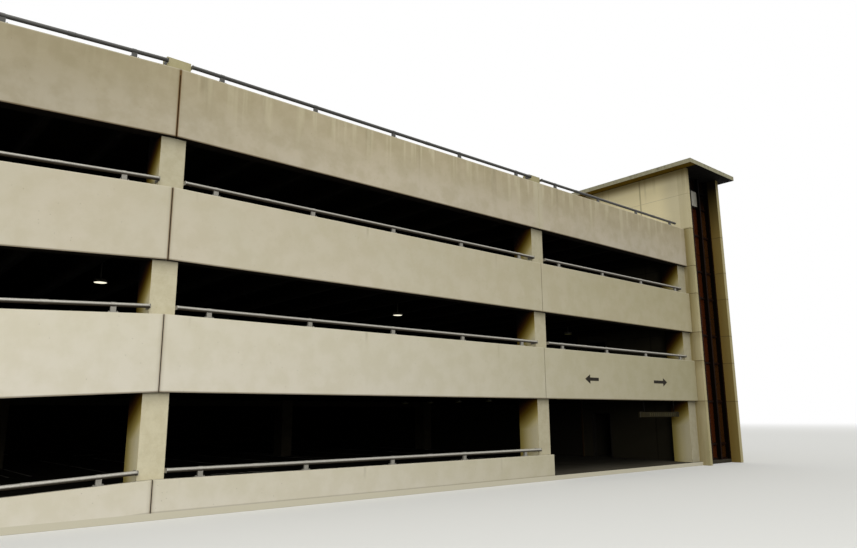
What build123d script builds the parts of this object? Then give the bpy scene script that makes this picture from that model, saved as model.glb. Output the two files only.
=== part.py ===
from build123d import *
import os

# Plan: the street side is at -Y, the stair tower stands outside the right end
middle_bay = 13400.0
end_bay = 10350.0
module_depth = 18300.0

# Heights: the underside of the ground slab is at zero
ground_slab_height = 150.0
ground_storey = 3530.0
storey = 3050.0
deck_names = ("level_2", "level_3", "roof")
ramp_slope = 0.0555

# Facade panels
panel_thickness = 150.0
panel_above_deck = 840.0
panel_below_deck = 930.0
panel_joint = 20.0
barrier_height = 700.0
ledge_projection = 200.0

# Columns; those on the bay lines have a short head that stands up behind the roof parapet
column_width = 600.0
column_depth = 850.0
column_head_depth = 300.0
column_head_height = 300.0

# Double tees and the beams that carry their inner ends
tee_width = 3400.0
flange_thickness = 150.0
stem_width = 160.0
tee_depth = 660.0
tee_clearance = 10.0
beam_web = 300.0

# Rails on the panels
rail_radius = 50.0
rail_rise = 181.0
rail_end_clearance = 30.0
stub_width = 120.0
stub_depth = 60.0
stub_sink = 30.0
first_stub = 1100.0
stub_spacing = 2800.0

# Stair tower
tower_clear_width = 2595.0
tower_left_wall_thickness = 200.0
tower_right_wall_thickness = 250.0
tower_rear_wall_thickness = 200.0
tower_projection = 335.0
tower_depth = 6600.0
tower_height = 13540.0
tower_roof_thickness = 200.0
tower_roof_overhang = 560.0
tower_floor_thickness = 200.0
doorway_width = 1000.0
doorway_height = 2100.0
doorway_corner = 400.0

# Glazed front of the tower
frame_recess = 435.0
mullion_width = 110.0
mullion_depth = 190.0
transom_height = 80.0
transom_depth = 60.0
glass_thickness = 12.0
glass_joint = 20.0
glazing_bays = 3
vent_panel_drop = 700.0
vent_panel_height = 740.0
vent_panel_thickness = 60.0

# Clearance bar that hangs in the vehicle entrance
clearance_bar_length = 2950.0
clearance_bar_height = 200.0
clearance_bar_thickness = 60.0
clearance_bar_headroom = 1930.0
clearance_bar_from_end_column = 1010.0
hanger_width = 30.0
hanger_inset = 350.0

# Round ceiling lamps: on small boxes under a stem along the entrance lane, and on rods in the storey over it
lamp_radius = 210.0
lamp_height = 150.0
lamp_box_width = 120.0
lamp_box_height = 50.0
lamp_box_sink = 20.0
lane_lamp_x = 13000.0
lane_lamp_count = 6
lane_lamp_from_face = 4200.0
lane_lamp_spacing = 2200.0
rod_lamp_past_bay_line = 180.0
rod_lamp_spacing = 10625.0
rod_lamp_row = 4600.0
rod_lamp_clearance = 60.0

# Places that follow from the sizes above
half_middle = middle_bay / 2
half_length = half_middle + end_bay
bays = ((-half_length, -half_middle), (-half_middle, half_middle), (half_middle, half_length))
first_deck = ground_slab_height + ground_storey
decks = [first_deck + index * storey for index in range(len(deck_names))]
roof_deck = decks[-1]
inner_end = half_length - panel_thickness
inner_face = module_depth - panel_thickness
ledge_height = panel_below_deck - tee_depth
tower_left = half_length
tower_inner_left = tower_left + tower_left_wall_thickness
tower_inner_right = tower_inner_left + tower_clear_width
tower_right = tower_inner_right + tower_right_wall_thickness
tower_front = -module_depth - tower_projection
tower_back = tower_front + tower_depth


def fall(x):
    """How far the ramped end bay has dropped at x"""
    return ramp_slope * max(0.0, -half_middle - x)


def upright(x0, x1, y0, y1, z0, z1):
    """A box between two corners"""
    size = (x1 - x0, y1 - y0, z1 - z0)
    centre = ((x0 + x1) / 2, (y0 + y1) / 2, (z0 + z1) / 2)
    return Pos(*centre) * Box(*size)


def sloped(x0, x1, y0, y1, z0, z1):
    """A block whose top and underside follow the fall of the decks"""
    outline = [(x0, y0, z0 - fall(x0)), (x1, y0, z0 - fall(x1)),
               (x1, y0, z1 - fall(x1)), (x0, y0, z1 - fall(x0))]
    return extrude(make_face(Polyline(*outline, close=True)), amount=y1 - y0, dir=(0, 1, 0))


def levelled(x0, x1, y0, y1, z0, z1):
    """A box that stands level, as low as the decks are at its middle"""
    drop = fall((x0 + x1) / 2)
    return upright(x0, x1, y0, y1, z0 - drop, z1 - drop)


def facing(side, near, far):
    """The two y values of a band measured inwards from the front or the rear face"""
    return sorted((side * (module_depth - near), side * (module_depth - far)))


def column_spans():
    """The x range of each column, left to right: two in the corners, two on the bay lines"""
    half = column_width / 2
    return [(-inner_end, -inner_end + column_width), (-half_middle - half, -half_middle + half),
            (half_middle - half, half_middle + half), (inner_end - column_width, inner_end)]


def front_column_spans():
    """On the street side the last column closes against the tower wall"""
    return column_spans()[:-1] + [(half_length - column_width, half_length)]


def facade_columns(side, spans):
    """Columns behind the front or rear panels; the corner ones stop at the roof deck"""
    near, far = facing(side, panel_thickness, panel_thickness + column_depth)
    head_near, head_far = facing(side, panel_thickness, panel_thickness + column_head_depth)
    columns = []
    for x0, x1 in spans:
        drop = fall((x0 + x1) / 2)
        column = upright(x0, x1, near, far, ground_slab_height, roof_deck - drop)
        if (x0, x1) in spans[1:-1]:
            head_top = roof_deck + panel_above_deck + column_head_height - drop
            column = column + upright(x0, x1, head_near, head_far, roof_deck - drop, head_top)
        columns.append(column)
    return columns


def middle_columns():
    """Columns between the two modules, up to the roof deck"""
    half = column_depth / 2
    return [upright(x0, x1, -half, half, ground_slab_height, roof_deck - fall((x0 + x1) / 2))
            for x0, x1 in column_spans()]


def clear_spans(spans):
    """The x ranges between neighbouring columns"""
    return [(left[1], right[0]) for left, right in zip(spans, spans[1:])]


def long_panels(side, deck, spans):
    """One deck's facade panels along the front or rear, each with the ledge that carries the tees"""
    face, back = facing(side, 0.0, panel_thickness)
    ledge_near, ledge_far = facing(side, panel_thickness, panel_thickness + ledge_projection)
    bottom = deck - panel_below_deck
    panels = []
    for (x0, x1), (ledge_x0, ledge_x1) in zip(bays, clear_spans(spans)):
        panel = sloped(x0 + panel_joint / 2, x1 - panel_joint / 2, face, back, bottom, deck + panel_above_deck)
        ledge = sloped(ledge_x0, ledge_x1, ledge_near, ledge_far, bottom, bottom + ledge_height)
        panels.append(panel + ledge)
    return panels


def end_panels(side, deck):
    """One deck's panels across the left or right end, one for each module"""
    x0, x1 = sorted((side * half_length, side * inner_end))
    start = tower_back if side > 0 else -inner_face
    ends = ((start + panel_joint, -panel_joint / 2), (panel_joint / 2, inner_face - panel_joint))
    return [levelled(x0, x1, y0, y1, deck - panel_below_deck, deck + panel_above_deck) for y0, y1 in ends]


def barrier_walls():
    """Low street-side walls of the ground storey; the last bay is left open for vehicles"""
    face, back = facing(-1, 0.0, panel_thickness)
    (left, seam), (_, entrance) = bays[:-1]
    top = ground_slab_height + barrier_height
    walls = []
    for x0, x1 in ((left, seam - panel_joint / 2), (seam + panel_joint / 2, entrance + column_width / 2)):
        outline = [(x0, face, ground_slab_height), (x1, face, ground_slab_height),
                   (x1, face, top - fall(x1)), (x0, face, top - fall(x0))]
        walls.append(extrude(make_face(Polyline(*outline, close=True)), amount=back - face, dir=(0, 1, 0)))
    return walls


def closed_wall(x0, x1, y0, y1):
    """A ground-storey wall from the slab up to the panels over it"""
    bottom = first_deck - panel_below_deck - panel_joint
    outline = [(x0, y0, ground_slab_height), (x1, y0, ground_slab_height),
               (x1, y0, bottom - fall(x1)), (x0, y0, bottom - fall(x0))]
    return extrude(make_face(Polyline(*outline, close=True)), amount=y1 - y0, dir=(0, 1, 0))


def rear_ground_wall():
    """The closed rear of the ground storey, one panel for each bay"""
    face, back = facing(1, 0.0, panel_thickness)
    return [closed_wall(x0 + panel_joint / 2, x1 - panel_joint / 2, face, back) for x0, x1 in bays]


def end_ground_wall(side):
    """A closed end of the ground storey, one panel for each module"""
    x0, x1 = sorted((side * half_length, side * inner_end))
    start = tower_back if side > 0 else -inner_face
    ends = ((start + panel_joint, -panel_joint / 2), (panel_joint / 2, inner_face - panel_joint))
    return [closed_wall(x0, x1, y0, y1) for y0, y1 in ends]


def right_upper_walls():
    """Walls that close the right end between its panel rows, from the tower to the middle columns"""
    return [levelled(inner_end, half_length, tower_back + panel_joint, -panel_joint / 2, low + panel_above_deck,
                     high - panel_below_deck - panel_joint) for low, high in zip(decks, decks[1:])]


def column_notches(spans, y0, y1):
    """The columns in one line, grown by the clearance that the decks keep"""
    gap = tee_clearance
    top = roof_deck + storey
    return [upright(x0 - gap, x1 + gap, y0 - gap, y1 + gap, 0.0, top) for x0, x1 in spans]


def tee_span(bay):
    """The x range that one bay's tees fill"""
    return max(bay[0], -inner_end) + tee_clearance, min(bay[1], inner_end) - tee_clearance


def stem_places(bay):
    """Evenly spaced stems, two to a tee"""
    x0, x1 = tee_span(bay)
    count = 2 * round((x1 - x0) / tee_width)
    return [x0 + (index + 0.5) * (x1 - x0) / count for index in range(count)]


def deck_tees(side, deck, spans):
    """One module's deck: a slab on pairs of stems in each bay, notched round the columns"""
    outer, inner = inner_face - tee_clearance, beam_web / 2 + tee_clearance
    y0, y1 = sorted((side * outer, side * inner))
    near, far = facing(side, panel_thickness, panel_thickness + column_depth)
    half = column_depth / 2
    notches = column_notches(spans, near, far) + column_notches(column_spans(), -half, half)
    tees = []
    for bay in bays:
        x0, x1 = tee_span(bay)
        tee = sloped(x0, x1, y0, y1, deck - flange_thickness, deck)
        for middle in stem_places(bay):
            tee = tee + sloped(middle - stem_width / 2, middle + stem_width / 2, y0, y1, deck - tee_depth, deck)
        if side < 0 and bay == bays[-1]:
            tee = tee + upright(x1, tower_left, y0, tower_back, deck - flange_thickness, deck)
        for notch in notches:
            tee = tee - notch
        tees.append(tee)
    return tees


def middle_beams(deck):
    """Beams along the middle line, with ledges on both sides for the stems"""
    half_web, half_base = beam_web / 2, beam_web / 2 + ledge_projection
    bottom = deck - panel_below_deck
    beams = []
    for x0, x1 in clear_spans(column_spans()):
        base = sloped(x0, x1, -half_base, half_base, bottom, bottom + ledge_height)
        web = sloped(x0, x1, -half_web, half_web, bottom, deck)
        beams.append(base + web)
    return beams


def stub_places(start, end):
    """Evenly spaced rail stubs, the outer two at a fixed distance from the column lines"""
    first, last = start + first_stub, end - first_stub
    count = max(1, round((last - first) / stub_spacing))
    return [first + index * (last - first) / count for index in range(count + 1)]


def long_rail(side, bay, span, top):
    """A round rail along one panel, on short stubs"""
    y = side * (module_depth - panel_thickness / 2)
    x0, x1 = span[0] + rail_end_clearance, span[1] - rail_end_clearance
    height = top + rail_rise
    start = Vector(x0, y, height - fall(x0))
    run = Vector(x1, y, height - fall(x1)) - start
    rail = Solid.extrude(Face(Plane(start, z_dir=run) * Wire.make_circle(rail_radius)), run)
    for x in stub_places(*bay):
        rail = rail + sloped(x - stub_width / 2, x + stub_width / 2, y - stub_depth / 2, y + stub_depth / 2,
                             top, height - stub_sink)
    return rail


def end_rail(side, y0, y1, top):
    """A round rail along one end panel, level, on short stubs"""
    x = side * (half_length - panel_thickness / 2)
    top = top - fall(x)
    start = Vector(x, y0 + rail_end_clearance, top + rail_rise)
    run = Vector(0, y1 - y0 - 2 * rail_end_clearance, 0)
    rail = Solid.extrude(Face(Plane(start, z_dir=run) * Wire.make_circle(rail_radius)), run)
    for y in stub_places(y0, y1):
        rail = rail + upright(x - stub_depth / 2, x + stub_depth / 2, y - stub_width / 2, y + stub_width / 2,
                              top, top + rail_rise - stub_sink)
    return rail


def long_rails(side, spans):
    """The rails of the front or rear, on every raised deck"""
    return [long_rail(side, bay, span, deck + panel_above_deck)
            for deck in decks for bay, span in zip(bays, clear_spans(spans))]


def barrier_rails():
    """The rails on the low walls of the ground storey"""
    top = ground_slab_height + barrier_height
    spans = clear_spans(front_column_spans())[:-1]
    return [long_rail(-1, bay, span, top) for bay, span in zip(bays, spans)]


def end_rails(side):
    """The rails of the left or right end, wherever it is open"""
    start = tower_back if side > 0 else -inner_face
    half = column_depth / 2
    modules = ((start, -half), (half, inner_face))
    return [end_rail(side, y0, y1, deck + panel_above_deck) for deck in decks
            for y0, y1 in (modules[1:] if side > 0 and deck < roof_deck else modules)]


def tower_side_wall(x0, x1):
    """One side wall of the tower, from the ground to the roof"""
    return upright(x0, x1, tower_front, tower_back, 0.0, tower_height)


def tower_left_wall():
    """The wall against the decks, with a doorway on every storey"""
    wall = tower_side_wall(tower_left, tower_inner_left)
    y1 = tower_back - tower_rear_wall_thickness - doorway_corner
    for floor in [ground_slab_height] + decks:
        doorway = upright(tower_left - panel_joint, tower_inner_left + panel_joint,
                          y1 - doorway_width, y1, floor, floor + doorway_height)
        wall = wall - doorway
    return wall


def tower_rear_wall():
    """The wall between the two side walls, at the back"""
    return upright(tower_inner_left, tower_inner_right, tower_back - tower_rear_wall_thickness, tower_back,
                   0.0, tower_height)


def tower_roof():
    """A plain slab that hangs over all four sides"""
    over = tower_roof_overhang
    return upright(tower_left - over, tower_right + over, tower_front - over, tower_back + over,
                   tower_height, tower_height + tower_roof_thickness)


def glass_face():
    """The y of the front of the tower's glass"""
    return tower_front + frame_recess + mullion_depth


def tower_floors():
    """The tower's ground slab and its landings, level with the decks"""
    front, back = glass_face() + glass_thickness + glass_joint, tower_back - tower_rear_wall_thickness
    ground = upright(tower_inner_left, tower_inner_right, tower_front + frame_recess, back,
                     0.0, ground_slab_height)
    landings = [upright(tower_inner_left, tower_inner_right, front, back, deck - tower_floor_thickness, deck)
                for deck in decks]
    return [ground] + landings


def transom_heights():
    """Transoms at the top and bottom of every row of panels, and at the head of the glazing"""
    heights = [ground_slab_height + transom_height / 2, ground_slab_height + barrier_height]
    for deck in decks:
        heights += [deck - panel_below_deck, deck + panel_above_deck]
    top = tower_height - vent_panel_drop
    heights += [top - vent_panel_height - transom_height / 2, top + transom_height / 2,
                tower_height - transom_height / 2]
    return heights


def mullion_centres():
    """Evenly spaced mullions, the outer two against the side walls"""
    first, last = tower_inner_left + mullion_width / 2, tower_inner_right - mullion_width / 2
    return [first + index * (last - first) / glazing_bays for index in range(glazing_bays + 1)]


def tower_frame():
    """Deep mullions crossed by slim transoms at the plane of the glass"""
    front, back = tower_front + frame_recess, glass_face()
    frame = upright(tower_inner_left, tower_inner_right, back - transom_depth, back,
                    transom_heights()[0] - transom_height / 2, transom_heights()[0] + transom_height / 2)
    for z in transom_heights()[1:]:
        frame = frame + upright(tower_inner_left, tower_inner_right, back - transom_depth, back,
                                z - transom_height / 2, z + transom_height / 2)
    for x in mullion_centres():
        frame = frame + upright(x - mullion_width / 2, x + mullion_width / 2, front, back,
                                ground_slab_height, tower_height)
    return frame


def tower_glass():
    """One sheet of glass for each storey, behind the frame"""
    y0 = glass_face()
    levels = [ground_slab_height] + [deck - tower_floor_thickness / 2 for deck in decks] + [tower_height]
    return [upright(tower_inner_left, tower_inner_right, y0, y0 + glass_thickness,
                    z0 + glass_joint / 2, z1 - glass_joint / 2) for z0, z1 in zip(levels, levels[1:])]


def tower_vent_panel():
    """A pale panel in place of one pane, near the top of the middle row"""
    left, right = mullion_centres()[1], mullion_centres()[2]
    front = tower_front + frame_recess + (mullion_depth - vent_panel_thickness) / 2
    back = glass_face() - transom_depth / 2
    top = tower_height - vent_panel_drop
    return upright(left + mullion_width / 2, right - mullion_width / 2, front - vent_panel_thickness / 2, back,
                   top - vent_panel_height, top)


def clearance_bar():
    """A board hung on two rods from the panel over the vehicle entrance"""
    y = -module_depth + panel_thickness / 2
    x1 = half_length - column_width - clearance_bar_from_end_column
    x0 = x1 - clearance_bar_length
    bottom = ground_slab_height + clearance_bar_headroom
    top = bottom + clearance_bar_height
    half = clearance_bar_thickness / 2
    bar = upright(x0, x1, y - half, y + half, bottom, top)
    for x in (x0 + hanger_inset, x1 - hanger_inset):
        bar = bar + upright(x - hanger_width / 2, x + hanger_width / 2, y - hanger_width / 2, y + hanger_width / 2,
                            top, first_deck - panel_below_deck)
    return bar


def lamp(x, y, top, hang):
    """A round lamp under a small box or rod, which follows the slope of the concrete it is fixed to"""
    half = lamp_box_width / 2
    box = sloped(x - half, x + half, y - half, y + half, top - hang - lamp_box_sink, top)
    middle = top - fall(x) - hang - lamp_height / 2
    return box + Pos(x, y, middle) * Cylinder(lamp_radius, lamp_height)


def lane_lamps():
    """A row of lamps under the stem nearest to the middle of the entrance lane"""
    x = min(stem_places(bays[-1]), key=lambda stem: abs(stem - lane_lamp_x))
    places = [lane_lamp_from_face - module_depth + index * lane_lamp_spacing for index in range(lane_lamp_count)]
    return [lamp(x, y, first_deck - tee_depth, lamp_box_height) for y in places]


def beside_stem(x):
    """The place nearest to x that keeps a lamp clear of the stems"""
    clear = lamp_radius + stem_width / 2 + rod_lamp_clearance
    near = min((place for bay in bays for place in stem_places(bay)), key=lambda stem: abs(stem - x))
    return x if abs(near - x) > clear else near - clear


def rod_lamps():
    """Lamps on rods from the slab of the middle deck, just under the level of its stems"""
    first = -half_middle - rod_lamp_past_bay_line
    count = int((inner_end - first) // rod_lamp_spacing) + 1
    hang = tee_depth - flange_thickness + lamp_box_height
    return [lamp(beside_stem(first + index * rod_lamp_spacing), side * (module_depth - rod_lamp_row),
                 decks[1] - flange_thickness, hang) for side in (-1, 1) for index in range(count)]


def write(name, solids):
    """One file for each node, with its solids side by side"""
    parts = []
    for shape in solids if isinstance(solids, list) else [solids]:
        parts += shape.solids()
    node = parts[0] if len(parts) == 1 else Compound(children=parts)
    node.label = name
    export_step(node, f"parts/{name}.step")


os.makedirs("parts", exist_ok=True)

ground_slab = upright(-half_length, half_length, -module_depth, module_depth, 0.0, ground_slab_height)
write("ground_slab", ground_slab)
write("front_columns", facade_columns(-1, front_column_spans()))
write("middle_columns", middle_columns())
write("rear_columns", facade_columns(1, column_spans()))

for deck_name, deck_top in zip(deck_names, decks):
    write(f"front_panels_{deck_name}", long_panels(-1, deck_top, front_column_spans()))
    write(f"rear_panels_{deck_name}", long_panels(1, deck_top, column_spans()))
    write(f"left_panels_{deck_name}", end_panels(-1, deck_top))
    write(f"right_panels_{deck_name}", end_panels(1, deck_top))
    write(f"front_deck_{deck_name}", deck_tees(-1, deck_top, front_column_spans()))
    write(f"rear_deck_{deck_name}", deck_tees(1, deck_top, column_spans()))
    write(f"middle_beams_{deck_name}", middle_beams(deck_top))

write("front_barrier_wall", barrier_walls())
write("rear_ground_wall", rear_ground_wall())
write("left_ground_wall", end_ground_wall(-1))
write("right_ground_wall", end_ground_wall(1))
write("right_upper_walls", right_upper_walls())

write("barrier_rails", barrier_rails())
write("front_rails", long_rails(-1, front_column_spans()))
write("rear_rails", long_rails(1, column_spans()))
write("left_rails", end_rails(-1))
write("right_rails", end_rails(1))

write("tower_left_wall", tower_left_wall())
write("tower_right_wall", tower_side_wall(tower_inner_right, tower_right))
write("tower_rear_wall", tower_rear_wall())
write("tower_roof", tower_roof())
write("tower_floors", tower_floors())
write("tower_frame", tower_frame())
write("tower_glass", tower_glass())
write("tower_vent_panel", tower_vent_panel())

write("clearance_bar", clearance_bar())
write("ceiling_lamps", lane_lamps() + rod_lamps())
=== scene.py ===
import bpy
import bmesh
import math
from mathutils import Matrix, Vector


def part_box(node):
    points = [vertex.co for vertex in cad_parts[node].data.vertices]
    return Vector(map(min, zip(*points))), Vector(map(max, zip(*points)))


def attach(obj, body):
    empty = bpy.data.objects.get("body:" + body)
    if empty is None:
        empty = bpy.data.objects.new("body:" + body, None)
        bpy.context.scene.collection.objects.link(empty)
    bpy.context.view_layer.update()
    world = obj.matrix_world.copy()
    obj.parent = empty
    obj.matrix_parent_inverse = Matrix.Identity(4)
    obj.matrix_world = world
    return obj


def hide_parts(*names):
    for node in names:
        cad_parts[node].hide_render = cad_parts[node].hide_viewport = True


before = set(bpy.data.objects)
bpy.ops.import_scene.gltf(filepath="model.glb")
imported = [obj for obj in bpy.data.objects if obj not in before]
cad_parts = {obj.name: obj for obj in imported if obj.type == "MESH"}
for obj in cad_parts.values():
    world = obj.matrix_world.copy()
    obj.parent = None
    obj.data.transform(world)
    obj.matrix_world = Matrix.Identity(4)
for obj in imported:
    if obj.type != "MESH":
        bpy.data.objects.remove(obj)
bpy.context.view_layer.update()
print("frame loaded:", len(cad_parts), "nodes")

building = {                    # lines of the car park in metres, as in the frame
    "bayLine": 6.70,            # joints between the bays stand at plus and minus this x
    "halfLength": 17.05,        # outer faces of the end panels
    "halfDepth": 18.30,         # outer faces of the long panels
    "panelThickness": 0.15, "panelAbove": 0.84, "panelBelow": 0.93,
    "barrierTop": 0.85, "groundTop": 0.15, "decks": (3.68, 6.73, 9.78), "rampSlope": 0.0555,
    "columnWidth": 0.60, "columnDepth": 0.85,
    "flange": 0.15, "teeDepth": 0.66, "teeWidth": 3.4, "stemWidth": 0.16, "beamWeb": 0.30,
    "railRise": 0.181, "railRadius": 0.05, "railClearance": 0.03, "firstStub": 1.10, "stubSpacing": 2.80,
}
(bayLine, halfLength, halfDepth, panelThickness, panelAbove, panelBelow, barrierTop, groundTop, decks, rampSlope,
 columnWidth, columnDepth, flange, teeDepth, teeWidth, stemWidth, beamWeb, railRise, railRadius, railClearance,
 firstStub, stubSpacing) = building.values()
levels = dict(zip(("level_2", "level_3", "roof"), decks))
floors = (groundTop,) + decks
innerEnd, innerFace = halfLength - panelThickness, halfDepth - panelThickness
bays = ((-halfLength, -bayLine), (-bayLine, bayLine), (bayLine, halfLength))
towerLow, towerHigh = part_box("tower_left_wall")
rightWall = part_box("tower_right_wall")[0].x


def fall(x):
    return rampSlope * max(0.0, -bayLine - x)


def addObject(name, data):
    thing = bpy.data.objects.new(name, data)
    bpy.context.scene.collection.objects.link(thing)
    return thing


# ---- camera

viewpoint = {"place": (-12.4549, -34.2549, 2.1868), "look": (0.64055, 0.74152, 0.19962), "roll": -0.3924,
             "lens": 29.254, "sensor": 36.0}


def makeCamera(values):
    look = Vector(values["look"]).normalized()
    right = look.cross(Vector((0.0, 0.0, 1.0))).normalized()
    up = right.cross(look)
    turn = math.radians(values["roll"])
    side = right * math.cos(turn) + up * math.sin(turn)
    top = up * math.cos(turn) - right * math.sin(turn)
    camera = addObject("streetCamera", bpy.data.cameras.new("streetCamera"))
    camera.data.lens, camera.data.sensor_width = values["lens"], values["sensor"]
    camera.data.clip_start, camera.data.clip_end = 0.1, 1000.0
    camera.matrix_world = Matrix((side, top, -look)).transposed().to_4x4()
    camera.location = values["place"]
    bpy.context.scene.camera = camera


makeCamera(viewpoint)
print("camera set")


# ---- node helpers

bench = {}                           # the tree that nodes go to, and the material's shader and position


class Wire:                          # a node's output, which can be reckoned with like a number
    def __init__(self, socket):
        self.socket = socket

    def __add__(self, other):
        return mathOf("ADD", self, other)

    def __sub__(self, other):
        return mathOf("SUBTRACT", self, other)

    def __rsub__(self, other):
        return mathOf("SUBTRACT", other, self)

    def __mul__(self, other):
        return mathOf("MULTIPLY", self, other)

    def __truediv__(self, other):
        return mathOf("DIVIDE", self, other)

    def __rtruediv__(self, other):
        return mathOf("DIVIDE", other, self)

    def __gt__(self, other):
        return mathOf("GREATER_THAN", self, other)

    def __lt__(self, other):
        return mathOf("LESS_THAN", self, other)

    def __abs__(self):
        return mathOf("ABSOLUTE", self)


def paint(red, green, blue):         # a colour as it is seen, from 0 to 255
    return tuple(c / 12.92 if c <= 0.04045 else ((c + 0.055) / 1.055) ** 2.4
                 for c in (red / 255, green / 255, blue / 255)) + (1.0,)


def feed(socket, value):             # a colour of three numbers is one as it is seen
    if isinstance(value, Wire):
        bench["tree"].links.new(value.socket, socket)
    elif socket.type == "RGBA" and len(value) == 3:
        socket.default_value = paint(*value)
    else:
        socket.default_value = value


def addNode(kind, feeds, **settings):
    node = bench["tree"].nodes.new("ShaderNode" + kind)
    for name, value in settings.items():
        setattr(node, name, value)
    for socket, value in feeds.items():
        feed(node.inputs[socket], value)
    return node


def wireOf(kind, feeds, output=0, **settings):
    return Wire(addNode(kind, feeds, **settings).outputs[output])


def mathOf(operation, *values):
    return wireOf("Math", dict(enumerate(values)), operation=operation)


def larger(first, second):
    return mathOf("MAXIMUM", first, second)


def mapOf(value, fromLow, fromHigh, toLow=0.0, toHigh=1.0, smooth=False):
    return wireOf("MapRange", {"Value": value, 1: fromLow, 2: fromHigh, 3: toLow, 4: toHigh},
                  interpolation_type="SMOOTHSTEP" if smooth else "LINEAR")


def mixOf(factor, first, second, blend="MIX"):
    return wireOf("Mix", {0: factor, 6: first, 7: second}, 2, data_type="RGBA", blend_type=blend)


def layered(colour, *coats):         # each coat is a mask and the colour that it brings
    for mask, coat in coats:
        colour = mixOf(mask, colour, coat)
    return colour


def greyed(colour, tone):            # a colour made darker or lighter by a value
    return mixOf(1.0, colour, wireOf("CombineColor", {0: tone, 1: tone, 2: tone}), "MULTIPLY")


def noiseOf(vector, scale, detail=4.0, roughness=0.55, stretch=None):
    if stretch:
        vector = wireOf("Mapping", {"Vector": vector, "Scale": stretch})
    return wireOf("TexNoise", {"Vector": vector, "Scale": scale, "Detail": detail, "Roughness": roughness})


def partsOf(vector):
    return [Wire(socket) for socket in addNode("SeparateXYZ", {0: vector}).outputs]


def effect(inputs):                  # turns a recipe into a node group with the recipe's name
    def build(recipe):
        group = bench["tree"] = bpy.data.node_groups.new(recipe.__name__, "ShaderNodeTree")
        for title, default in inputs.items():
            kind = "NodeSocketVector" if isinstance(default, tuple) else "NodeSocketFloat"
            group.interface.new_socket(title, in_out="INPUT", socket_type=kind).default_value = default
        given = group.nodes.new("NodeGroupInput").outputs
        results = recipe(*[Wire(given[title]) for title in inputs])
        for title in results:
            group.interface.new_socket(title, in_out="OUTPUT", socket_type="NodeSocketFloat")
        end = group.nodes.new("NodeGroupOutput")
        for title, value in results.items():
            feed(end.inputs[title], value)
        return group
    return build


def useGroup(group, *values, position=None):         # a group that takes the surface's position gets it first
    node = addNode("Group", {}, node_tree=group)
    if "Position" in node.inputs:
        values = (position or bench["position"],) + values
    for socket, value in zip(node.inputs, values):
        feed(socket, value)
    outputs = {socket.name: Wire(socket) for socket in node.outputs}
    return outputs if len(outputs) > 1 else list(outputs.values())[0]


# ---- shared effects, each one a node group

origin = (0.0, 0.0, 0.0)


@effect({"Position": origin, "Bay Line": 6.7, "Slope": 0.0555})
def levelHeight(position, line, slope):              # height with the fall of the ramped bay taken out
    x, _, z = partsOf(position)
    return {"Height": mathOf("MULTIPLY_ADD", larger(x * -1.0 - line, 0.0), slope, z)}


@effect({"Value": 0.0, "Place": 0.0, "Half Width": 0.01, "Softness": 0.01})
def lineMask(value, place, halfWidth, softness):     # one where a value lies within a narrow band
    return {"Mask": mapOf(abs(value - place), halfWidth, halfWidth + softness, 1.0, 0.0)}


@effect({"Normal": (0.0, 0.0, 1.0)})
def faceTurn(normal):                                # which way a surface looks
    z = partsOf(normal)[2]
    up, down = mapOf(z, 0.35, 0.8), mapOf(z, -0.35, -0.8)
    return {"Up": up, "Down": down, "Side": 1.0 - up - down}


@effect({"Position": origin, "Near": 1.0, "Middle": 1.0, "Far": 1.0, "Reach": 17.0})
def lengthTone(position, near, middle, far, reach):  # a tone that changes smoothly along the building
    x = partsOf(position)[0] / reach
    return {"Tone": mapOf(x, -1.0, 0.0, near, middle) + mapOf(x, 0.0, 1.0, 0.0, far - middle)}


@effect({"Position": origin, "Blotch Size": 1.5, "Grain Size": 0.02, "Pore Size": 0.1, "Pore Share": 0.3})
def castConcrete(position, blotchSize, grainSize, poreSize, poreShare):      # mottling, grain and air holes
    large = noiseOf(position, 1.0 / blotchSize, 5.0, 0.6)
    patch = noiseOf(position, 4.3 / blotchSize, 3.0, 0.6)
    grain = noiseOf(position, 1.0 / grainSize, 3.0, 0.7)
    holes = addNode("TexVoronoi", {"Vector": position, "Scale": 1.0 / poreSize}).outputs
    chosen = partsOf(Wire(holes["Color"]))[0] < poreShare
    pores = mapOf(Wire(holes["Distance"]), 0.05, 0.11, 1.0, 0.0) * chosen
    raised = mathOf("MULTIPLY_ADD", grain, 0.45, patch * 0.25)
    return {"Blotch": mapOf(large, 0.36, 0.64, smooth=True), "Patch": mapOf(patch, 0.34, 0.68, smooth=True),
            "Grain": grain, "Pores": pores, "Height": raised - pores * 0.8}


@effect({"Position": origin, "Below Edge": 0.0, "Spacing": 0.3, "Length": 0.5, "Share": 0.3})
def runMarks(position, below, spacing, length, share):       # marks that water leaves below an edge
    x, y, _ = partsOf(position)
    across = (x + y) / spacing
    places, longer = (wireOf("TexNoise", {"W": w, "Scale": 1.0, "Detail": detail}, noise_dimensions="1D")
                      for w, detail in ((across, 2.5), (mathOf("MULTIPLY_ADD", across, 0.63, 31.0), 1.0)))
    threshold = mapOf(share, 0.0, 1.0, 0.75, 0.3)
    start = mapOf(places, threshold, threshold + 0.1, smooth=True)
    reach = length * mapOf(longer, 0.3, 0.7, 0.25, 1.6)
    fade = mapOf(below, reach * 0.15, reach, 1.0, 0.0, smooth=True)
    broken = mapOf(noiseOf(position, 9.0, 3.0, 0.6, (1.0, 1.0, 0.18)), 0.3, 0.6, 0.45, 1.0)
    return {"Mask": start * fade * broken}


@effect({"Position": origin, "Size": 0.6, "Share": 0.5})
def grime(position, size, share):                    # dirt that gathers in patches
    broad, fine = noiseOf(position, 1.0 / size, 6.0, 0.65), noiseOf(position, 9.0 / size, 4.0, 0.7)
    low = mapOf(share, 0.0, 1.0, 0.72, 0.28)
    return {"Mask": mapOf(mathOf("MULTIPLY_ADD", fine, 0.35, broad * 0.65), low, low + 0.22, smooth=True)}


print("effects made")


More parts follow.
